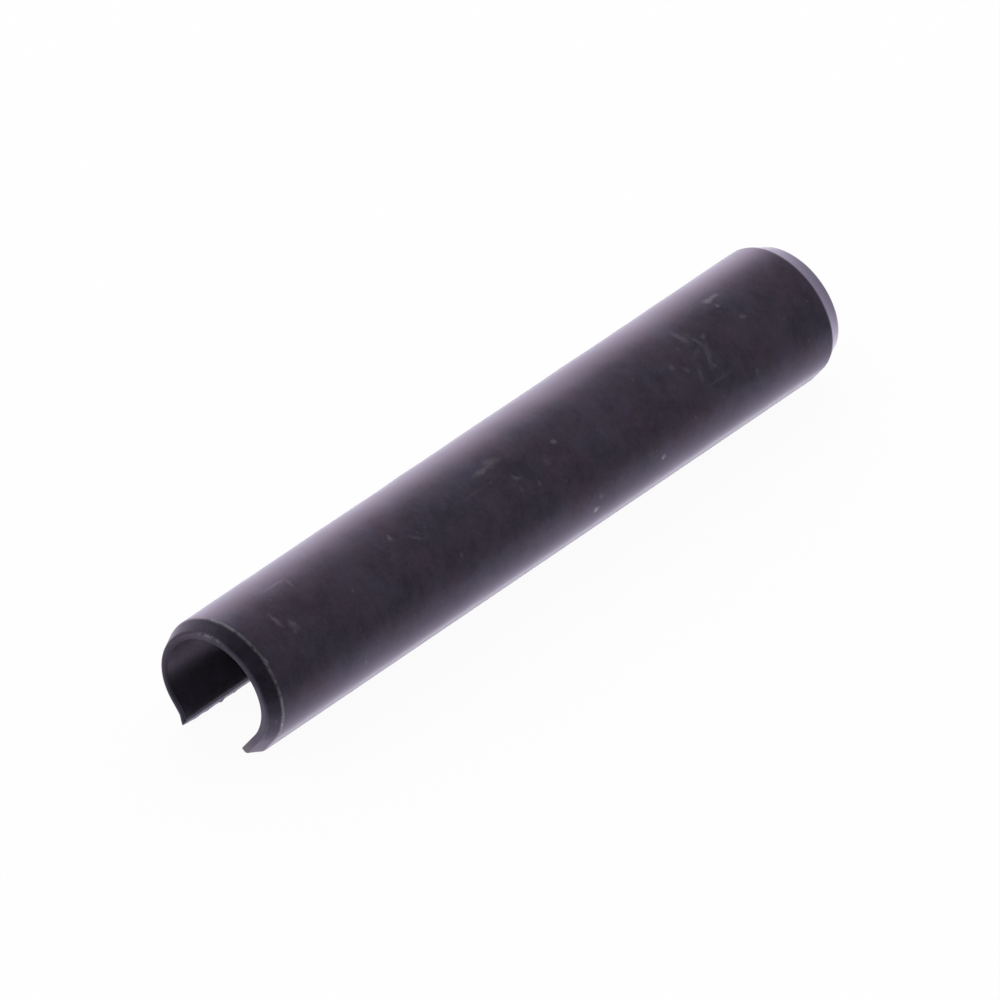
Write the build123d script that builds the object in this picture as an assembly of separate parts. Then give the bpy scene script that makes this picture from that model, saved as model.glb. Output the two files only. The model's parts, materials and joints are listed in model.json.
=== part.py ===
from build123d import *
import os
from math import atan2, degrees, radians, tan

# Slotted spring pin, light duty, for a 4.5 mm hole, in its free state.
# It is one strip of spring steel, bevelled along both sides, cut to length and rolled into a C.
# It lies on its two lips, slot down.
# Millimetres. X runs along the pin, Z is up, and the origin is on the surface that the pin lies
# on, under its middle.

# The strip
pin_length = 28.0
wall = 0.5

# The rolled C, by its outside
back_radius = 2.5
back_angle = 70.0       # degrees of the back on each side of the top
shoulder_radius = 2.08
lip_lean = 37.5         # degrees that the flat lips lean in from upright
lip_length = 0.9        # flat stretch of each lip, at the middle of the wall

# The cut faces. One stroke parts a strip from the next, so both of its cut faces lean the same
# way, and each has one edge dragged round by the blade: the outer edge on the near lip and the
# inner edge on the far lip.
shear_slant = 12.0      # degrees off square
shear_radius = 0.12

# The lead-in bevel round the outside of both ends
bevel_length = 0.55     # along the pin
bevel_depth = 0.25      # into the wall


def rolled_curve(inset, lip_growth):
    """Half of the C at a depth in the wall, from the top round to the end of a lip."""
    back = JernArc((0, back_radius - inset), (1, 0), back_radius - inset, -back_angle)
    shoulder_turn = 90 - back_angle + lip_lean
    shoulder = JernArc(back @ 1, back % 1, shoulder_radius - inset, -shoulder_turn)
    lip = Line(shoulder @ 1, shoulder @ 1 + (lip_length + lip_growth) * (shoulder % 1))
    return back + shoulder + lip


def half_section(outer_growth):
    """Half of the wall, from the top to the slanted cut face of its lip."""
    outside = rolled_curve(0, outer_growth)
    inside = rolled_curve(wall, -outer_growth)
    ends = [Line(outside @ 0, inside @ 0), Line(outside @ 1, inside @ 1)]
    return make_face(outside.edges() + inside.edges() + ends)


def rolled_strip():
    """The whole C along the whole pin, with its bevelled ends and still sharp cut faces."""
    slant_growth = wall / 2 * tan(radians(shear_slant))
    section = mirror(half_section(-slant_growth), Plane.YZ) + half_section(slant_growth)
    strip = extrude(Plane.YZ * section, pin_length / 2, both=True)
    near_outline = mirror(rolled_curve(0, -slant_growth), Plane.YZ)
    outline = near_outline + rolled_curve(0, slant_growth)
    for side in (0, -1):
        strip = bevelled(strip, outline, side)
    return strip


def bevelled(strip, outline, side):
    """Bevel the outside edge of one end, from lip to lip."""
    end = strip.faces().sort_by(Axis.X)[side]
    outline_there = Plane.YZ.offset(end.center().X) * outline
    edges = end.edges().filter_by(lambda edge: outline_there.distance_to(edge @ 0.5) < wall / 10)
    return chamfer(edges, bevel_depth, bevel_length, reference=end)


def sheared(strip):
    """Round the edge of each cut face that the blade dragged."""
    near_cut, far_cut = strip.faces().sort_by(Axis.Z)[:2].sort_by(Axis.Y)
    near_outer_edges = near_cut.edges().sort_by(Axis.Z)[:3]
    far_inner_edge = far_cut.edges().sort_by(Axis.Z)[-1:]
    return fillet(near_outer_edges + far_inner_edge, shear_radius)


def laid_down(pin):
    """Turn the pin a little, until both lips touch the surface, and centre it on the origin."""
    near_foot = pin.faces().filter_by(GeomType.CYLINDER).sort_by(Axis.Z)[0]
    far_foot = pin.edges().sort_by(Axis.Z)[0]
    lift = near_foot.bounding_box().min.Z - far_foot.center().Z
    span = far_foot.center().Y - near_foot.center().Y
    turned = Rot(X=degrees(atan2(lift, span))) * pin
    box = turned.bounding_box()
    return Pos(0, -box.center().Y, -box.min.Z) * turned


spring_pin = laid_down(sheared(rolled_strip()))

os.makedirs("parts", exist_ok=True)
export_step(spring_pin, "parts/spring_pin.step")
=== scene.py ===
"""A slotted spring pin of blackened spring steel, rolled from a flat strip and laid on a plain table.

The pin is drawn first as a flat strip, in the strip's own measures: around (its length, which goes round
the pin), along (its width, which becomes the pin's length) and depth (from the outside into the wall).
Bevels, sheared ends, burrs and waves are put on there, and the strip is then rolled into a C. Every point
keeps its place on the flat strip, and the steel's colours and wear follow that.

The near end is the one towards -X, and the near lip is the one towards -Y.
"""

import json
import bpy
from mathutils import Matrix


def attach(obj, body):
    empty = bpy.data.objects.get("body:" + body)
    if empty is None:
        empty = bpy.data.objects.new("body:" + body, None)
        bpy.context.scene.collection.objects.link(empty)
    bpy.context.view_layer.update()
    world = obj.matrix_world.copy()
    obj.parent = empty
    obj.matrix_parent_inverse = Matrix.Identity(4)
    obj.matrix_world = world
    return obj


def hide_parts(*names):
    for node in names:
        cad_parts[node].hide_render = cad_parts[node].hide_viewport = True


bl_info = {
    "name": "Slotted Spring Pin",
    "version": (1, 0, 0),
    "blender": (4, 5, 0),
    "location": "3D View > Sidebar > Spring Pin",
    "description": "Rolls a slotted spring pin from a strip of spring steel and lays out a table for it",
    "category": "Add Mesh",
}

from math import cos, pi, radians, sin, tan

import bpy
import numpy as np
from bpy.props import FloatProperty, FloatVectorProperty, PointerProperty
from mathutils import Matrix, Vector, noise

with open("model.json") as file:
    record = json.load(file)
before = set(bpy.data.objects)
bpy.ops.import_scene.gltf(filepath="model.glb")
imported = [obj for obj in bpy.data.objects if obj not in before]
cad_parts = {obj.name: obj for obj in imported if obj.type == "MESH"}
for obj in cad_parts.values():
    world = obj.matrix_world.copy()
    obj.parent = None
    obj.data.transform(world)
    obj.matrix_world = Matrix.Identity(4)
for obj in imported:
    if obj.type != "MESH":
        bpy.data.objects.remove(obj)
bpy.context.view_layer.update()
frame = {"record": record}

MM = 0.001
BACK_AXIS = next(m["pos_m"] for m in frame["record"]["mounts"] if m["name"] == "outside")


def length(name, description, millimetres):
    """A length that a user may change, given in millimetres and kept in metres."""
    return FloatProperty(
        name=name, description=description, default=millimetres * MM, min=0, precision=5,
        subtype="DISTANCE", unit="LENGTH",
    )


def angle(name, description, degrees):
    """An angle that a user may change, given in degrees."""
    return FloatProperty(
        name=name, description=description, default=radians(degrees), subtype="ANGLE", unit="ROTATION",
    )


def share(name, description, default, top=1.0):
    """A plain number from nought to top."""
    return FloatProperty(name=name, description=description, default=default, min=0, max=top)


def colour(name, description, default):
    """A linear colour."""
    return FloatVectorProperty(
        name=name, description=description, default=default, size=3, min=0, max=1, subtype="COLOR",
    )


class StripSizes(bpy.types.PropertyGroup):
    """Sizes of the strip and of the C that it is rolled into."""

    pin_length: length("Pin length", "From end to end", 28.0)
    wall: length("Wall", "Thickness of the strip", 0.5)
    back_radius: length("Back radius", "Outside radius of the back of the C", 2.5)
    back_angle: angle("Back angle", "How far the back reaches on each side of the top", 70)
    shoulder_radius: length("Shoulder radius", "Outside radius of the tighter shoulders", 2.08)
    lip_lean: angle("Lip lean", "How far the flat lips lean in from upright", 37.5)
    lip_length: length("Lip length", "Flat stretch of each lip", 0.9)
    rest_turn: angle("Rest turn", "Turn about its length that sets both lips on the table", 2.195)
    near_slant: angle("Near slant", "How far the near lip's sheared face leans off square", 3)
    far_slant: angle("Far slant", "How far the far lip's sheared face leans off square", 16)
    far_short: length("Far short", "How much shorter the far lip is cut", 0.02)
    dragged_radius: length("Dragged radius", "Rounding of the near lip's outer edge, under the blade", 0.13)
    tucked_radius: length("Tucked radius", "Rounding of the far lip's inner edge, under the blade", 0.19)
    torn_radius: length("Torn radius", "Rounding of the edge where the steel tore off", 0.012)
    bevel_length: length("Bevel length", "Length of the lead-in bevel along the pin", 0.55)
    bevel_depth: length("Bevel depth", "Depth of the lead-in bevel into the wall", 0.25)
    far_growth: share("Far growth", "How much larger than the near end's bevel the far end's is", 0.20)
    far_skew: angle("Far skew", "How far the far end is cut off square, longer at the far lip", 0.6)
    bevel_softness: length("Bevel softness", "Rounding where the bevel meets the outside", 0.22)
    land_radius: length("Land radius", "Rounding between the bevel and the flat end", 0.09)
    land_crown: length("Land crown", "How far the flat end falls back towards the bore", 0.02)
    bore_radius: length("Bore edge radius", "Rounding between the flat end and the bore", 0.03)
    tear_height: length("Tear height", "Roughness of the torn part of the sheared faces", 0.014)
    waviness: length("Waviness", "Depth of the faint waves that rolling leaves in the wall", 0.006)


class SteelFinish(bpy.types.PropertyGroup):
    """Colours and wear of the blackened steel."""

    oxide: colour("Oxide", "Colour of the black oxide", (0.040, 0.035, 0.053))
    oxide_brown: colour("Brown oxide", "Colour of its browner patches", (0.045, 0.034, 0.049))
    bore: colour("Bore", "Colour of the oxide inside", (0.042, 0.034, 0.049))
    # Painted light: the bore inside the far lip, and most of all along that lip's edge, is coloured lighter
    # than the oxide.
    bore_painted_light: colour("Bore painted light", "Colour of the far lip's side of the bore, lightened as painted light", (0.048, 0.043, 0.064))
    lip_edge_painted_light: colour("Lip edge painted light", "Painted light along the inside of that lip's edge", (0.080, 0.074, 0.098))
    steel: colour("Worn steel", "Colour where the oxide has worn off", (0.36, 0.34, 0.37))
    gloss_tint: colour("Gloss tint", "Colour of the oxide's gloss at a glancing angle", (0.90, 0.86, 1.0))
    metal: share("Metal", "How metallic the oxide looks outside", 0.95)
    bore_metal: share("Bore metal", "How metallic the oxide inside the far lip is", 0.4)
    roughness: share("Roughness", "Roughness of the oxide", 0.40)
    bore_roughness: share("Bore roughness", "Roughness of the oxide inside", 0.45)
    wear: share("Wear", "How far the edges are worn bright", 0.41)


class TableStudio(bpy.types.PropertyGroup):
    """The table, the light and the camera."""

    table: colour("Table", "Colour of the table", (0.94, 0.94, 0.94))
    table_size: length("Table size", "Width of the round table", 1200)
    evenness: share("Evenness", "How far the camera sees the table as an even white", 0.95)
    room_light: share("Room light", "Strength of the white sweep all round", 1.31, 4)
    overhead_dark: share("Overhead dark", "How much dimmer the room is above the camera", 1.50, 4)
    front_dark: share("Front dark", "How much dimmer the front edge of the sweep is", 1.27, 4)
    floor_light: share("Floor light", "How much brighter the foot of the sweep is", 0.53, 4)
    back_light: share("Back light", "How much brighter the back of the sweep is", 1.50, 4)
    softbox_light: share("Softbox light", "Brightness of the softbox's face", 1.49, 20)
    softbox_colour: colour("Softbox colour", "Colour of the softbox's light", (1.0, 0.89, 0.77))
    camera_turn: angle("Camera turn", "How far the camera looks round from +Y towards +X", 46.952)
    camera_dip: angle("Camera dip", "How far the camera looks down", 32.855)
    camera_roll: angle("Camera roll", "Turn of the camera about its line of sight", 3.858)
    camera_distance: length("Camera distance", "From the camera to the point it aims at", 793.2)
    camera_lens: FloatProperty(
        name="Lens", description="Focal length on a 36 mm sensor", default=893.29, unit="CAMERA",
    )


# --- Shader maths ---------------------------------------------------------------------------------


class Flow:
    """A socket's value. Python's operators on it lay Math nodes."""

    def __init__(self, bench, socket):
        self.bench = bench
        self.socket = socket

    def maths(self, operation, *values):
        return self.bench.node("ShaderNodeMath", {"operation": operation}, dict(enumerate(values)))

    def __add__(self, other):
        return self.maths("ADD", self, other)

    def __radd__(self, other):
        return self.maths("ADD", other, self)

    def __sub__(self, other):
        return self.maths("SUBTRACT", self, other)

    def __rsub__(self, other):
        return self.maths("SUBTRACT", other, self)

    def __mul__(self, other):
        return self.maths("MULTIPLY", self, other)

    def __rmul__(self, other):
        return self.maths("MULTIPLY", other, self)

    def __abs__(self):
        return self.maths("ABSOLUTE", self)

    def root(self):
        return self.maths("SQRT", self)

    def at_least(self, other):
        return self.maths("MAXIMUM", self, other)

    def step(self, low, high):
        """A soft step from 0 at low to 1 at high, or the other way round where high is the lower."""
        ends = {"From Min": min(low, high), "From Max": max(low, high)}
        ends |= {"To Min": float(low > high), "To Max": float(low < high), "Value": self}
        return self.bench.node("ShaderNodeMapRange", {"interpolation_type": "SMOOTHSTEP"}, ends)

    def span(self):
        """Length of a vector."""
        return self.bench.node("ShaderNodeVectorMath", {"operation": "LENGTH"}, {0: self}, "Value")

    def span_within(self, reach):
        """1 at nought, falling softly to 0 at a reach to either side."""
        return abs(self).step(reach, 0.0)

    def part(self, name):
        """X, Y or Z of a vector."""
        return self.bench.node("ShaderNodeSeparateXYZ", {}, {"Vector": self}, name)

    def scaled(self, *by):
        return self.bench.node("ShaderNodeVectorMath", {"operation": "MULTIPLY"}, {0: self, 1: by})

    def moved(self, *by):
        shift = by[0] if len(by) == 1 else by
        return self.bench.node("ShaderNodeVectorMath", {"operation": "ADD"}, {0: self, 1: shift})


class Bench:
    """Lays the nodes of one material or world."""

    def __init__(self, tree):
        self.tree = tree
        tree.nodes.clear()

    def node(self, kind, settings=None, sockets=None, output=0):
        """Lay one node: its settings first, then a value or a link for each socket."""
        made = self.tree.nodes.new(kind)
        for name, value in (settings or {}).items():
            setattr(made, name, value)
        for name, value in (sockets or {}).items():
            if isinstance(value, Flow):
                self.tree.links.new(value.socket, made.inputs[name])
            else:
                made.inputs[name].default_value = value
        return Flow(self, made.outputs[output]) if made.outputs else made

    def ray(self, kind):
        """1 for rays of this kind and 0 for others."""
        return self.node("ShaderNodeLightPath", {}, {}, f"Is {kind} Ray")

    def mix(self, share_of_b, a, b):
        """Colour a, giving way to colour b. A Mix node's colours are its sockets 6 and 7, and output 2."""
        return self.node("ShaderNodeMix", {"data_type": "RGBA"}, {"Factor": share_of_b, 6: a, 7: b}, 2)

    def cloud(self, place, scale, detail=2.0, roughness=0.5, output=0):
        """Noise from 0 to 1 over a place vector. Its output 1 is three noises, as a colour."""
        sockets = {"Vector": place, "Scale": scale, "Detail": detail, "Roughness": roughness}
        return self.node("ShaderNodeTexNoise", {}, sockets, output)


def opaque(rgb):
    return (*rgb, 1.0)


# --- The strip ------------------------------------------------------------------------------------

HALF_CORNER = 3  # pieces from the middle of a strip's corner to either side
ROUND_PIECES = 96  # pieces round the C
FACE_PIECES = 8  # pieces across a sheared face
ALONG_PIECES = 330  # pieces along the pin between its bevels
EDGE_PIECES = 6  # pieces round each edge of an end
BEVEL_PIECES = 5  # pieces down a bevel
LONG_SIDE = ROUND_PIECES + 2 * HALF_CORNER
SHORT_SIDE = FACE_PIECES + 2 * HALF_CORNER
FULLEST_CORNER = 0.42  # largest rounding of a strip's corner, as a share of its thickness there


def rounded(before, corner, after, radius, pieces):
    """Points of the arc that rounds a corner, in the plane of three points."""
    a, c, b = (np.array(p, float) for p in (before, corner, after))
    u = (a - c) / np.linalg.norm(a - c)
    v = (b - c) / np.linalg.norm(b - c)
    half = np.arccos(np.clip(u @ v, -1, 1)) / 2
    reach = radius / tan(half)
    middle = c + (u + v) / np.linalg.norm(u + v) * radius / sin(half)
    start = c + u * reach - middle
    finish = c + v * reach - middle
    sweep = pi - 2 * half
    steps = np.linspace(0, 1, pieces + 1)[:, None]
    return middle + (np.sin((1 - steps) * sweep) * start + np.sin(steps * sweep) * finish) / sin(sweep)


def end_profile(size):
    """The wall's outline from its flat end inwards, as (distance from the end, depth) for the outer and the
    inner side, and how far the sheared faces are pulled back there."""
    middle = (0, (size.bevel_depth + size.wall) / 2)
    land_edge = (0, size.bevel_depth)
    bevel_edge = (size.bevel_length, 0)
    bore_edge = (size.land_crown, size.wall)
    further_in = 4 * size.bevel_length
    land = rounded(middle, land_edge, bevel_edge, size.land_radius, EDGE_PIECES)
    bevel = rounded(land_edge, bevel_edge, (further_in, 0), size.bevel_softness, EDGE_PIECES)
    slope = land[-1] + np.linspace(0, 1, BEVEL_PIECES + 1)[1:-1, None] * (bevel[0] - land[-1])
    outer = np.vstack([land, slope, bevel])
    inner = outer.copy()
    inner[:, 1] = size.wall
    at_end = slice(EDGE_PIECES + 1)
    inner[at_end] = rounded(middle, bore_edge, (further_in, size.wall), size.bore_radius, EDGE_PIECES)
    pull = np.zeros(len(outer))
    pull[at_end] = size.torn_radius * (1 - np.sin(np.linspace(0, pi / 2, EDGE_PIECES + 1)))
    return outer, inner, pull


def cut_place(size, side, depth):
    """How far round a sheared face lies from the middle of its lip's end, at a depth."""
    slant, short = (size.far_slant, -size.far_short) if side > 0 else (size.near_slant, 0)
    return short + size.wall / 2 * tan(slant) * (1 - 2 * depth / size.wall)


def strip_reach(size):
    """Distance round the middle of the wall from the top to where each part of the C ends."""
    back = (size.back_radius - size.wall / 2) * size.back_angle
    shoulder_turn = pi / 2 - size.back_angle + size.lip_lean
    shoulder = back + (size.shoulder_radius - size.wall / 2) * shoulder_turn
    return back, shoulder, shoulder + size.lip_length


def ring(size, outer_depth, inner_depth, pull):
    """The strip's outline at one place along it, as (around, depth). It starts at the near outer corner."""
    reach = strip_reach(size)[2]
    depth = {"outer": outer_depth, "inner": inner_depth}
    corners = []
    for side, row in ((-1, "outer"), (1, "outer"), (1, "inner"), (-1, "inner")):
        around = side * (reach - pull) + cut_place(size, side, depth[row])
        corners.append((around, depth[row]))
    thickness = inner_depth - outer_depth
    radii = [size.dragged_radius, size.torn_radius, size.tucked_radius, size.torn_radius]
    arcs = []
    for i, corner in enumerate(corners):
        radius = min(radii[i], FULLEST_CORNER * thickness)
        arcs.append(rounded(corners[i - 1], corner, corners[(i + 1) % 4], radius, 2 * HALF_CORNER))
    points = []
    for i, arc in enumerate(arcs):
        pieces = (ROUND_PIECES, FACE_PIECES)[i % 2]
        follower = arcs[(i + 1) % 4]
        straight = arc[-1] + np.linspace(0, 1, pieces + 1)[1:-1, None] * (follower[0] - arc[-1])
        points += [arc[HALF_CORNER:], straight, follower[:HALF_CORNER]]
    return np.vstack(points)


def filled(border):
    """A grid of points that fills a ring. Its four sides are the ring's own, corner to corner."""
    bottom = border[: LONG_SIDE + 1]
    right = border[LONG_SIDE : LONG_SIDE + SHORT_SIDE + 1]
    top = border[LONG_SIDE + SHORT_SIDE : 2 * LONG_SIDE + SHORT_SIDE + 1][::-1]
    left = np.vstack([border[2 * LONG_SIDE + SHORT_SIDE :], border[:1]])[::-1]
    u = np.linspace(0, 1, LONG_SIDE + 1)[None, :, None]
    v = np.linspace(0, 1, SHORT_SIDE + 1)[:, None, None]
    sides = (1 - v) * bottom[None] + v * top[None] + (1 - u) * left[:, None] + u * right[:, None]
    ends = (1 - u) * (1 - v) * bottom[0] + u * (1 - v) * bottom[-1] + (1 - u) * v * top[0] + u * v * top[-1]
    return sides - ends


def numbered(shape, base, count, next_number):
    """The numbers of a patch's points. Its border is the ring from base on, and its inside is new."""
    numbers = np.full(shape, -1)
    numbers[0] = base + np.arange(LONG_SIDE + 1)
    numbers[:, -1] = base + LONG_SIDE + np.arange(SHORT_SIDE + 1)
    numbers[-1] = base + LONG_SIDE + SHORT_SIDE + np.arange(LONG_SIDE + 1)[::-1]
    numbers[:, 0] = base + (2 * LONG_SIDE + SHORT_SIDE + np.arange(SHORT_SIDE + 1)[::-1]) % count
    inside = numbers[1:-1, 1:-1]
    inside[:] = next_number + np.arange(inside.size).reshape(inside.shape)
    return numbers


def strip_rings(size):
    """The strip's rings of points (around, along, depth), from the near end to the far end."""
    outer, inner, pull = end_profile(size)
    half = size.pin_length / 2
    clear = half - outer[-1, 0]
    near = [(-half + o[0], o[1], -half + i[0], i[1], p) for o, i, p in zip(outer, inner, pull)]
    body = [(x, 0.0, x, size.wall, 0.0) for x in np.linspace(-clear, clear, ALONG_PIECES + 1)[1:-1]]
    far = [(-a, b, -c, d, p) for a, b, c, d, p in near[::-1]]
    rings = []
    for outer_along, outer_depth, inner_along, inner_depth, held in near + body + far:
        flat = ring(size, outer_depth, inner_depth, held)
        inward = (flat[:, 1] - outer_depth) / (inner_depth - outer_depth)
        along = outer_along + inward * (inner_along - outer_along)
        rings.append(np.column_stack([flat[:, 0], along, flat[:, 1]]))
    return np.array(rings)


def flat_strip(size):
    """The flat strip: points (around, along, depth), faces, and 1 for each point on a sheared face."""
    rings = strip_rings(size)
    count = rings.shape[1]
    points = rings.reshape(-1, 3)
    on_face = np.zeros(count)
    on_face[LONG_SIDE : LONG_SIDE + SHORT_SIDE + 1] = 1
    on_face[-SHORT_SIDE:] = 1
    on_face[0] = 1
    row = np.arange(len(rings) - 1)[:, None] * count
    place = np.arange(count)[None]
    here = row + place
    beside = row + (place + 1) % count
    faces = [np.stack([here, here + count, beside + count, beside], -1).reshape(-1, 4)]
    for end, turned in ((0, False), (len(rings) - 1, True)):
        patch = filled(rings[end])
        numbers = numbered(patch.shape[:2], end * count, count, len(points))
        points = np.vstack([points, patch[1:-1, 1:-1].reshape(-1, 3)])
        a, b, c, d = numbers[:-1, :-1], numbers[:-1, 1:], numbers[1:, 1:], numbers[1:, :-1]
        faces.append(np.stack([a, d, c, b] if turned else [a, b, c, d], -1).reshape(-1, 4))
    sheared = np.tile(on_face, len(rings))
    sheared = np.pad(sheared, (0, len(points) - len(sheared)))
    return points, np.vstack(faces), sheared


# --- What shearing and rolling left, in millimetres -----------------------------------------------

# Burrs on the far lip's torn edge: place along the pin, height and half width.
BURRS = (
    (-12.75, 0.015, 0.12),
    (-12.10, 0.04, 0.12),
    (-11.46, 0.02, 0.10),
    (-4.3, 0.03, 0.15),
    (6.1, 0.04, 0.2),
)
CORNER_DRAWN = 0.07  # how far the far lip's corner at the near end is drawn out along the pin
CORNER_LIFTED = 0.05  # how far that corner stands off the outside
CORNER_REACH = (0.42, 0.5)  # how far in from the corner both begin, around and along
CORNER_FULL = 0.02  # how far in from the corner both are whole
WAVY_TO = 4.0  # how far round from the top the waves are whole
STILL_FROM = 4.9  # how far round they have died out
FAR_RUN_IN = 1.4  # how far in from the far end its stretch begins
FAR_EARLY = 0.3  # how much of the far bevel's growth goes into an earlier start


def hump(distance, half_width):
    """A smooth hump, 1 at no distance and 0 from its half width on."""
    return np.clip(1 - (distance / half_width) ** 2, 0, 1) ** 2


def rise(value, low, high):
    """A smooth rise from 0 at low to 1 at high."""
    way = np.clip((value - low) / (high - low), 0, 1)
    return way * way * (3 - 2 * way)


def noise_over(x, y, z):
    """Smooth noise, from about -1 to 1, at the places that x, y and z give."""
    places = np.column_stack(np.broadcast_arrays(x, y, z))
    return np.array([noise.noise(Vector(place)) for place in places])


def torn_off(size, around, along, depth, sheared):
    """How far around tearing moved each point of the sheared faces, with the far lip's burrs."""
    wall = size.wall / MM
    side = np.sign(around)
    far_tear = rise(depth, 0.6 * wall, 0.3 * wall)
    near_tear = rise(depth, 0.4 * wall, 0.7 * wall)
    tear = np.where(side > 0, far_tear, near_tear) * sheared
    ragged = noise_over(along * 4.1, depth * 3 + side * 9, side)
    ragged += 0.6 * noise_over(along * 11.3, depth * 9, side * 5)
    grown = tear * ragged * size.tear_height / MM
    for place, height, half_width in BURRS:
        grown += tear * (side > 0) * height * hump(along - place, half_width)
    return grown * side


def wavy(size, around, along):
    """How far in depth the faint waves of rolling move each point."""
    waves = noise_over(around * 0.55, along * 0.32, 0)
    waves += 0.5 * noise_over(around * 1.3, along * 0.9, 5)
    return waves * (size.waviness / MM * 2 * rise(np.abs(around), STILL_FROM, WAVY_TO))


def drawn_corner(size, around, along):
    """1 at the far lip's corner at the near end, which shearing drew out, falling to 0 round it."""
    lip_end = strip_reach(size)[2] / MM
    near_end = -size.pin_length / MM / 2
    across = rise(around, lip_end - CORNER_REACH[0], lip_end - CORNER_FULL)
    return across * rise(along, near_end + CORNER_REACH[1], near_end + CORNER_FULL)


def far_cut(size, around, along, depth):
    """How far the far end's larger bevel and skewed cut move each point, along the pin and in depth."""
    end = size.pin_length / MM / 2
    bevel = size.bevel_length / MM
    down = np.clip((along - end) / bevel + 1, 0, 1)
    run_in = rise(along, end - FAR_RUN_IN, end - bevel)
    skewed = run_in * around * tan(size.far_skew)
    stretched = size.far_growth * bevel * (down - FAR_EARLY * run_in)
    deeper = size.far_growth * size.bevel_depth / MM * down * 2 * (1 - depth / (size.wall / MM))
    return skewed + stretched, deeper


def worked(size, points, sheared):
    """The strip's points with what shearing and rolling left on them."""
    around, along, depth = (points / MM).T
    corner = drawn_corner(size, around, along)
    longer, deeper = far_cut(size, around, along, depth)
    around_by = torn_off(size, around, along, depth, sheared)
    along_by = longer - CORNER_DRAWN * corner
    depth_by = wavy(size, around, along) - CORNER_LIFTED * corner + deeper
    return points + np.column_stack([around_by, along_by, depth_by]) * MM


def rolled(size, points):
    """Where the points of the flat strip come to lie once it is rolled up and laid down."""
    back, shoulder, _ = strip_reach(size)
    around, along, depth = points.T
    side = np.where(around < 0, -1.0, 1.0)
    way = np.abs(around)
    on_back = way < back
    on_lip = way > shoulder
    shoulder_start = size.back_angle
    shoulder_end = pi / 2 + size.lip_lean
    turn = shoulder_start + (way - back) / (size.shoulder_radius - size.wall / 2)
    turn = np.where(on_back, way / (size.back_radius - size.wall / 2), np.minimum(turn, shoulder_end))
    offset = size.back_radius - size.shoulder_radius
    centre_y = np.where(on_back, 0, offset * sin(shoulder_start))
    centre_z = np.where(on_back, 0, offset * cos(shoulder_start))
    radius = np.where(on_back, size.back_radius, size.shoulder_radius) - depth
    further = np.where(on_lip, way - shoulder, 0)
    across = side * (centre_y + radius * np.sin(turn) + further * np.cos(turn))
    up = centre_z + radius * np.cos(turn) - further * np.sin(turn)
    lean_cos, lean_sin = cos(size.rest_turn), sin(size.rest_turn)
    y = across * lean_cos - up * lean_sin + BACK_AXIS[1]
    z = across * lean_sin + up * lean_cos + BACK_AXIS[2]
    return np.column_stack([along, y, z])


# --- The blackened steel, in millimetres on the flat strip ----------------------------------------

KNOCK_FULL = 0.1  # how far out from its middle a mark is whole, as a share of its half length and width
KNOCK_GONE = 2.6  # how far out it has faded to nothing
KNOCK_DEPTH = 0.3  # half depth of every mark
KNOCK_FRAY = 0.24  # how widely a mark's outline wanders
BUMP_HEIGHT = 0.004  # height of the grain and the draw lines

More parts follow.
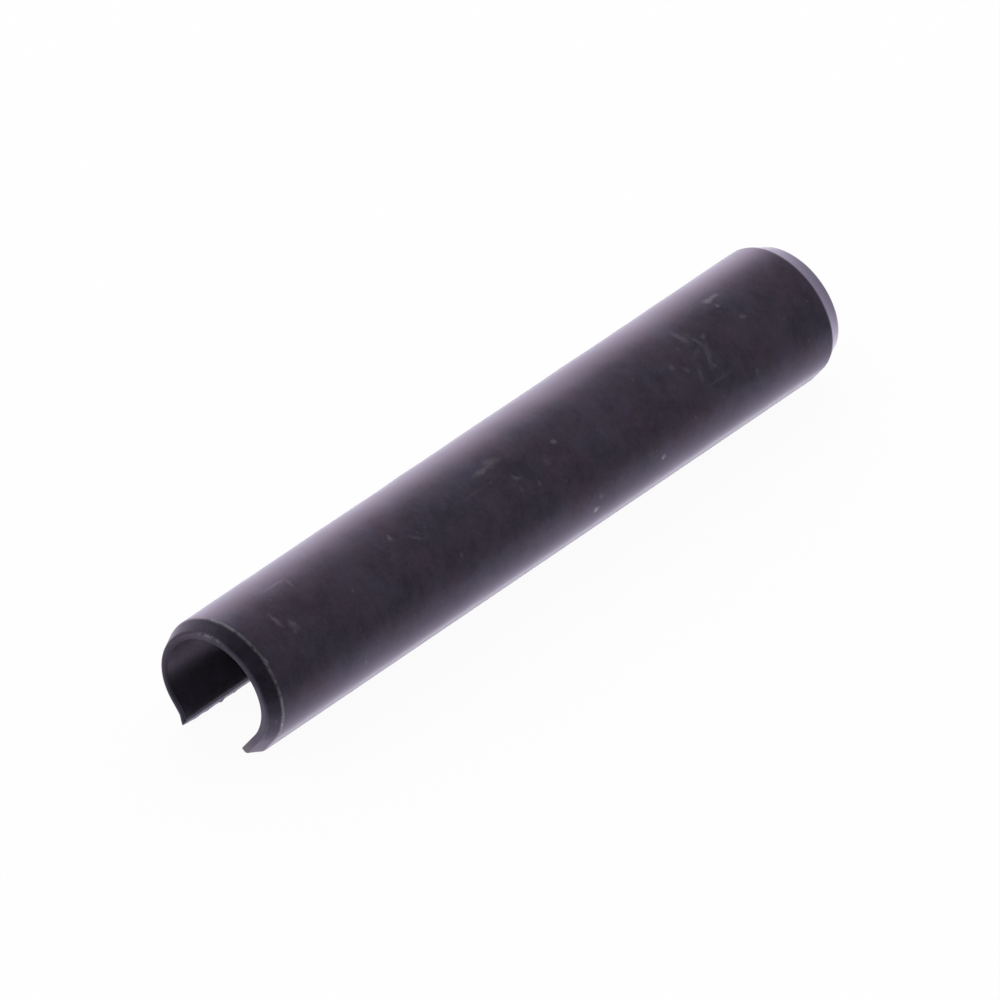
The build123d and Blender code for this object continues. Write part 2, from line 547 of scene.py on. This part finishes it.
# Scratches, knocks and specks where the steel shows through, in millimetres and degrees: place around and
# along, half length, half width, lean from straight round, and how bright it shows.
KNOCKS = (
    (-0.93, -12.04, 0.16, 0.050, 172, 0.42),
    (-1.31, -11.67, 0.11, 0.075, 165, 0.34),
    (-1.50, -11.78, 0.05, 0.035, 0, 0.30),
    (0.12, -10.86, 0.30, 0.030, 90, 0.30),
    (-0.18, -10.44, 0.11, 0.035, 8, 0.22),
    (-1.76, -13.43, 0.05, 0.045, 0, 0.90),
    (-1.46, -8.92, 0.04, 0.040, 0, 0.25),
    (-0.76, -6.41, 0.05, 0.045, 0, 0.45),
    (-0.86, -6.51, 0.17, 0.030, 113, 0.12),
    (-1.22, -5.63, 0.18, 0.035, 134, 0.18),
    (-1.08, -2.87, 0.46, 0.030, 90, 0.10),
    (-0.66, -1.75, 0.26, 0.060, 88, 0.38),
    (-0.57, -1.25, 0.22, 0.085, 100, 0.28),
    (-1.40, -0.98, 0.10, 0.045, 134, 0.30),
    (-1.92, -0.33, 0.05, 0.050, 0, 0.25),
    (-1.76, -1.09, 0.05, 0.045, 0, 0.18),
    (-1.52, 0.39, 0.06, 0.060, 0, 0.12),
    (-1.13, 1.14, 0.06, 0.050, 110, 0.45),
    (-2.39, -4.49, 0.05, 0.045, 0, 0.25),
    (-3.71, 1.72, 0.07, 0.050, 117, 1.40),
    (-3.36, 1.94, 0.06, 0.045, 115, 0.30),
    (-3.46, 4.98, 0.06, 0.050, 116, 0.85),
    (-3.59, -9.49, 0.05, 0.040, 0, 0.30),
    (-0.67, 7.94, 0.21, 0.065, 167, 0.30),
    (-1.10, 8.31, 0.28, 0.055, 161, 0.25),
    (-1.58, 8.28, 0.27, 0.060, 29, 0.25),
    (-1.32, 7.98, 0.22, 0.055, 67, 0.12),
    (-1.93, 7.57, 0.19, 0.050, 22, 0.18),
    (-2.33, 8.15, 0.42, 0.030, 90, 0.12),
    (-0.10, 10.18, 0.20, 0.042, 91, 0.50),
    (-0.12, 9.97, 0.09, 0.070, 90, 0.60),
    (-0.46, 10.03, 0.05, 0.050, 0, 0.55),
    (-1.18, 10.37, 0.08, 0.055, 119, 0.32),
    (-1.01, 8.61, 0.05, 0.045, 0, 0.30),
    (-1.91, 8.23, 0.05, 0.045, 0, 0.27),
    (-1.28, 6.79, 0.07, 0.050, 118, 0.25),
    (-1.57, 7.19, 0.07, 0.050, 116, 0.22),
    (-2.78, 9.76, 0.05, 0.045, 0, 0.20),
    (2.10, -3.20, 0.30, 0.040, 60, 0.35),
    (3.40, 5.60, 0.22, 0.045, 130, 0.40),
    (1.70, 9.10, 0.06, 0.055, 0, 0.45),
    (2.90, -8.70, 0.35, 0.035, 95, 0.30),
    (3.80, 0.90, 0.07, 0.060, 40, 0.40),
)


class StripPlace:
    """Where the shaded point was on the flat strip: around from the top towards the far lip, along from the
    middle towards the far end, depth from the outside, and how far it is in from the nearer end."""

    def __init__(self, bench, size):
        strip = bench.node("ShaderNodeAttribute", {"attribute_name": "strip"}, {}, "Vector")
        self.place = strip.scaled(1 / MM, 1 / MM, 1 / MM)
        self.around = self.place.part("X")
        self.along = self.place.part("Y")
        self.depth = self.place.part("Z")
        self.from_end = size.pin_length / MM / 2 - abs(self.along)
        self.sheared = bench.node("ShaderNodeAttribute", {"attribute_name": "sheared"}, {}, "Fac")
        self.inside = self.depth.step(0.46, 0.495)  # 1 in the bore
        self.inside_far_lip = self.inside * self.around.step(3.9, 4.8)  # 1 inside the far lip
        self.land = self.from_end.step(0.12, 0.05) * self.depth.step(0.50, 0.485)  # 1 on the flat ends

    def near_edge(self, from_end, depth, width):
        """1 on an edge that runs round the end, falling to 0 a width away from it."""
        in_by = self.from_end - from_end
        down_by = self.depth - depth
        return (in_by * in_by + down_by * down_by).root().step(width, 0.0)


def knocks(bench, place):
    """How bright the steel shows through the marks in the outside."""
    fraying = bench.cloud(place, 4.0, 2.0, 0.7, 1).scaled(KNOCK_FRAY, KNOCK_FRAY, 0)
    frayed = place.moved(fraying).moved(-KNOCK_FRAY / 2, -KNOCK_FRAY / 2, 0)
    shown = None
    for around, along, half_length, half_width, lean, bright in KNOCKS:
        sockets = {
            "Vector": frayed, "Location": (around, along, 0), "Rotation": (0, 0, radians(lean)),
            "Scale": (half_length, half_width, KNOCK_DEPTH),
        }
        mark = bench.node("ShaderNodeMapping", {"vector_type": "TEXTURE"}, sockets)
        mark = mark.span().step(KNOCK_GONE, KNOCK_FULL) * bright
        shown = shown.at_least(mark) if shown else mark
    return shown


def worn_share(bench, at, size, finish, mottling, fine):
    """How far the steel shows: along the edges, at the marks, in specks and at the near lip's end."""
    land_edge = at.near_edge(0.0, size.bevel_depth / MM, 0.10) * (at.around - 0.1).span_within(0.9)
    bevel_edge = at.near_edge(size.bevel_length / MM - 0.02, 0.0, 0.09) * at.along.step(12.0, 9.0)
    broken = (mottling * 0.5 + fine * 0.6).step(0.32, 0.66)
    edges = land_edge.at_least(bevel_edge) * broken * finish.wear
    specks = bench.cloud(at.place.moved(4, 4, 4), 5.0, 0.0).step(0.78, 0.90)
    specks = specks * at.depth.step(0.2, 0.1) * 0.04
    marks = knocks(bench, at.place) * (fine * 0.33 + 0.11)
    # Paler steel on the flat ends towards the near lip, and at the near lip's corners at both ends.
    paler_land_by_near_lip = at.land * at.around.step(-2.6, -4.0) * 0.07
    paler_near_lip_end = at.from_end.step(0.62, 0.5) * at.around.step(-4.6, -5.4) * 0.10
    return edges.at_least(marks).at_least(specks).at_least(paler_land_by_near_lip + paler_near_lip_end)


def patches_and_painted_shade(bench, at, mottling):
    """How far the oxide is darkened towards black: in random patches of thick oxide, and as painted shade
    on parts of the flat ends towards the bore and inside the bore.
    """
    # Painted shade on the flat ends, deeper towards the bore and near the top.
    past_top = at.around.step(-0.9, 0.4) * 0.35
    far_shoulder = at.around.step(0.4, 2.4) * 0.2
    far_lip = (at.around - 4.4).span_within(1.5) * 0.4
    painted_shade_towards_bore = at.depth.step(0.27, 0.46) * (past_top + far_shoulder + far_lip)
    painted_shade_near_top = at.depth.step(0.24, 0.32) * (at.around + 1.1).span_within(1.9).step(0.0, 0.5) * 0.7
    painted_shade_on_land = at.land * painted_shade_towards_bore.at_least(painted_shade_near_top)
    # Painted shade inside the bore: a band on the far lip's side, and a weaker shade everywhere short of
    # 2.3 mm round towards the far lip.
    low_bore = (at.around - 3.7).span_within(0.6) * 0.30
    high_bore = at.around.step(2.9, 2.3) * 0.15
    painted_shade_in_bore = at.inside * (1.0 - at.land) * (low_bore + high_bore)
    # Random patches of thick oxide, which are its own tone, taken a little darker inside the bore as
    # painted shade.
    patches = mottling * 0.75 + bench.cloud(at.place.moved(2, 8, 6), 0.4, 1.0) * 0.25
    patches = patches.step(0.65, 0.30) * (at.inside * 0.2 + 0.45)
    return painted_shade_on_land.at_least(painted_shade_in_bore).at_least(patches)


def oxide_colour(bench, at, finish, mottling):
    """Colour of the black oxide, browner in patches, with painted light inside the far lip's side of the
    bore and painted shade on the flat ends and in the bore.
    """
    brown = bench.cloud(at.place, 0.55, 3.0, 0.65).step(0.35, 0.65)
    # Painted light: a lighter colour on the far lip's side of the bore, strongest along the lip's edge.
    lip_edge_light = at.depth.step(0.47, 0.495) * at.around.step(4.95, 5.35) * (1.0 - at.land)
    oxide = bench.mix(brown, opaque(finish.oxide), opaque(finish.oxide_brown))
    oxide = bench.mix(at.inside, oxide, opaque(finish.bore))
    oxide = bench.mix(at.inside_far_lip, oxide, opaque(finish.bore_painted_light))
    oxide = bench.mix(lip_edge_light, oxide, opaque(finish.lip_edge_painted_light))
    # Darkened towards black by the oxide patches and by painted shade.
    return bench.mix(patches_and_painted_shade(bench, at, mottling), oxide, opaque((0.0, 0.0, 0.0)))


def blackened_steel(size, finish):
    """Blackened spring steel: mottled black oxide, worn paler along its edges and where it was knocked,
    with painted shade and painted light in its colour at the ends and in the bore.
    """
    material = bpy.data.materials.new("blackened_spring_steel")
    material.use_nodes = True
    bench = Bench(material.node_tree)
    at = StripPlace(bench, size)
    mottling = bench.cloud(at.place.moved(7, 3, 0), 1.3, 6.0, 0.85)
    fine = bench.cloud(at.place.moved(1, 9, 4), 9.0, 2.0, 0.6)
    worn = worn_share(bench, at, size, finish, mottling, fine)
    surface = bench.mix(worn, oxide_colour(bench, at, finish, mottling), opaque(finish.steel))
    metal = finish.metal - at.inside_far_lip * (finish.metal - finish.bore_metal)
    roughness = finish.roughness + (mottling - 0.5) * 0.16
    roughness = roughness + at.inside * (finish.bore_roughness - finish.roughness)
    roughness = roughness + at.sheared * 0.12 + worn * 0.1
    grain = bench.cloud(at.place, 22.0, 2.0, 0.6)
    draw_lines = bench.cloud(at.place.scaled(6, 0.22, 3), 1.0, 3.0, 0.6)
    height = grain * 0.5 + draw_lines * 1.6
    relief = {"Strength": 0.25, "Distance": BUMP_HEIGHT * MM, "Height": height}
    bump = bench.node("ShaderNodeBump", {}, relief)
    sockets = {
        "Base Color": surface, "Metallic": worn.at_least(metal), "Roughness": roughness, "IOR": 1.6,
        "Specular Tint": opaque(finish.gloss_tint), "Normal": bump,
    }
    shader = bench.node("ShaderNodeBsdfPrincipled", {}, sockets)
    bench.node("ShaderNodeOutputMaterial", {}, {"Surface": shader})
    return material


class SPRINGPIN_OT_roll_pin(bpy.types.Operator):
    """Roll the slotted spring pin from its flat strip, in place of the plain one"""

    bl_idname = "spring_pin.roll_pin"
    bl_label = "Roll the Spring Pin"
    bl_options = {"REGISTER", "UNDO"}

    def execute(self, context):
        size = context.scene.spring_pin_sizes
        finish = context.scene.spring_pin_finish
        points, faces, sheared = flat_strip(size)
        mesh = bpy.data.meshes.new("rolled_pin")
        mesh.from_pydata(rolled(size, worked(size, points, sheared)).tolist(), [], faces.tolist())
        strip = mesh.attributes.new("strip", "FLOAT_VECTOR", "POINT")
        strip.data.foreach_set("vector", points.astype(np.float32).ravel())
        cut = mesh.attributes.new("sheared", "FLOAT", "POINT")
        cut.data.foreach_set("value", sheared.astype(np.float32))
        mesh.polygons.foreach_set("use_smooth", [True] * len(mesh.polygons))
        if mesh.validate():
            raise RuntimeError("the rolled strip has faces that don't hold together")
        mesh.materials.append(blackened_steel(size, finish))
        pin = bpy.data.objects.new("rolled_pin", mesh)
        context.scene.collection.objects.link(pin)
        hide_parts("spring_pin")
        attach(pin, "root")
        return {"FINISHED"}


# --- The table, the light and the camera ----------------------------------------------------------

TABLE_SIDES = 96
# Rings of the table top, from the middle out: share of its radius, and height in metres.
TABLE_RINGS = ((0.25, 0.0), (0.97, 0.0), (0.992, -0.002), (1.0, -0.010))
SOFTBOX_TURN = radians(37)  # from +Y towards +X
SOFTBOX_RISE = radians(17)  # above the table
SOFTBOX_DISTANCE = 1.0  # metres
SOFTBOX_FACE = (0.63, 0.71)  # width and height, metres
CAMERA_AIM = (-0.0418, 0.1147, 1.8213)  # the point that the camera aims at, millimetres


def round_table(studio):
    """A plain round table top with a soft lip, under the pin."""
    points = []
    for share_out, height in TABLE_RINGS:
        reach = share_out * studio.table_size / 2
        for i in range(TABLE_SIDES):
            turn = 2 * pi * i / TABLE_SIDES
            points.append((reach * cos(turn), reach * sin(turn), height))
    faces = []
    for start in range(0, len(points) - TABLE_SIDES, TABLE_SIDES):
        for i in range(TABLE_SIDES):
            a = start + i
            b = start + (i + 1) % TABLE_SIDES
            faces.append((a, a + TABLE_SIDES, b + TABLE_SIDES, b))
    faces.append(tuple(range(TABLE_SIDES)))
    mesh = bpy.data.meshes.new("table")
    mesh.from_pydata(points, [], faces)
    if mesh.validate():
        raise RuntimeError("the table has faces that don't hold together")
    return bpy.data.objects.new("table", mesh)


def table_paint(studio):
    """Pale matt paint, which the camera sees as an even white with a soft shadow. The steel mirrors the
    white sweep through it."""
    material = bpy.data.materials.new("table_paint")
    material.use_nodes = True
    bench = Bench(material.node_tree)
    matt = bench.node("ShaderNodeBsdfDiffuse", {}, {"Color": opaque(studio.table)})
    white = bench.node("ShaderNodeEmission", {}, {"Strength": 1.0})
    clear = bench.node("ShaderNodeBsdfTransparent")
    evened = bench.ray("Camera") * studio.evenness
    seen = bench.node("ShaderNodeMixShader", {}, {0: evened, 1: matt, 2: white})
    shader = bench.node("ShaderNodeMixShader", {}, {0: bench.ray("Glossy"), 1: seen, 2: clear})
    bench.node("ShaderNodeOutputMaterial", {}, {"Surface": shader})
    return material


def studio_room(studio):
    """A white sweep all round, dimmer on the camera's side. The camera sees it as an even white."""
    world = bpy.data.worlds.new("studio_room")
    world.use_nodes = True
    bench = Bench(world.node_tree)
    seen = bench.ray("Camera").at_least(bench.ray("Transmission"))
    way = bench.node("ShaderNodeTexCoord", {}, {}, "Generated")
    way_x, way_y, way_z = (way.part(axis) for axis in "XYZ")

    def towards(x, y, z):
        """How far each way out into the room points in this direction, from -1 to 1."""
        return way_x * x + way_y * y + way_z * z

    overhead = towards(-0.254, -0.302, 0.919).step(0.255, 1.435)
    front = towards(0.07, -0.998, 0.0).step(0.57, 1.14)
    foot = towards(0.0, 0.0, -1.0).step(0.125, 0.555)
    back = towards(0.94, 0.326, -0.10).step(0.723, 0.83)
    room = studio.room_light - overhead * studio.overhead_dark - front * studio.front_dark
    room = (room + foot * studio.floor_light + back * studio.back_light).at_least(0.0)
    strength = room + seen * (1.0 - room)
    light = bench.node("ShaderNodeBackground", {}, {"Color": (1, 1, 1, 1), "Strength": strength})
    bench.node("ShaderNodeOutputWorld", {}, {"Surface": light})
    return world


def softbox(studio):
    """A rectangular soft light behind the pin, which faces it."""
    width, height = SOFTBOX_FACE
    lamp = bpy.data.lights.new("back_softbox", "AREA")
    lamp.shape = "RECTANGLE"
    lamp.size = width
    lamp.size_y = height
    lamp.color = studio.softbox_colour
    lamp.energy = studio.softbox_light * pi * width * height
    light = bpy.data.objects.new("back_softbox", lamp)
    level = cos(SOFTBOX_RISE)
    way = Vector((sin(SOFTBOX_TURN) * level, cos(SOFTBOX_TURN) * level, sin(SOFTBOX_RISE)))
    light.location = way * SOFTBOX_DISTANCE
    light.rotation_euler = way.to_track_quat("Z", "Y").to_euler()
    light.visible_camera = False
    return light


def studio_camera(studio):
    """A long lens that looks down along the pin, past its near end and near lip."""
    lens = bpy.data.cameras.new("camera")
    lens.lens = studio.camera_lens
    lens.sensor_width = 36
    lens.clip_start = 0.01
    camera = bpy.data.objects.new("camera", lens)
    turn = Matrix.Rotation(-studio.camera_turn, 4, "Z")
    dip = Matrix.Rotation(pi / 2 - studio.camera_dip, 4, "X")
    roll = Matrix.Rotation(-studio.camera_roll, 4, "Z")
    facing = turn @ dip @ roll
    place = Vector(CAMERA_AIM) * MM + facing @ Vector((0, 0, studio.camera_distance))
    camera.matrix_world = Matrix.Translation(place) @ facing
    return camera


class SPRINGPIN_OT_lay_out_table(bpy.types.Operator):
    """Set out the table, the soft light and the camera"""

    bl_idname = "spring_pin.lay_out_table"
    bl_label = "Lay Out the Table"
    bl_options = {"REGISTER", "UNDO"}

    def execute(self, context):
        scene = context.scene
        studio = scene.spring_pin_studio
        table = round_table(studio)
        table.data.materials.append(table_paint(studio))
        camera = studio_camera(studio)
        for thing in (table, softbox(studio), camera):
            scene.collection.objects.link(thing)
        scene.camera = camera
        scene.world = studio_room(studio)
        scene.view_settings.view_transform = "Standard"
        return {"FINISHED"}


class SPRINGPIN_PT_sidebar(bpy.types.Panel):
    """Sizes and finish of the spring pin, and the buttons that make it"""

    bl_label = "Slotted Spring Pin"
    bl_idname = "SPRINGPIN_PT_sidebar"
    bl_space_type = "VIEW_3D"
    bl_region_type = "UI"
    bl_category = "Spring Pin"

    def draw(self, context):
        scene = context.scene
        for settings, button in (
            (scene.spring_pin_sizes, None),
            (scene.spring_pin_finish, SPRINGPIN_OT_roll_pin),
            (scene.spring_pin_studio, SPRINGPIN_OT_lay_out_table),
        ):
            column = self.layout.column(align=True)
            for name in settings.__annotations__:
                column.prop(settings, name)
            if button:
                self.layout.operator(button.bl_idname)


CLASSES = (
    StripSizes, SteelFinish, TableStudio,
    SPRINGPIN_OT_roll_pin, SPRINGPIN_OT_lay_out_table, SPRINGPIN_PT_sidebar,
)


def register():
    for cls in CLASSES:
        bpy.utils.register_class(cls)
    bpy.types.Scene.spring_pin_sizes = PointerProperty(type=StripSizes)
    bpy.types.Scene.spring_pin_finish = PointerProperty(type=SteelFinish)
    bpy.types.Scene.spring_pin_studio = PointerProperty(type=TableStudio)


def unregister():
    del bpy.types.Scene.spring_pin_studio
    del bpy.types.Scene.spring_pin_finish
    del bpy.types.Scene.spring_pin_sizes
    for cls in reversed(CLASSES):
        bpy.utils.unregister_class(cls)


def main():
    register()
    bpy.ops.spring_pin.roll_pin()
    bpy.ops.spring_pin.lay_out_table()


if __name__ == "__main__":
    main()
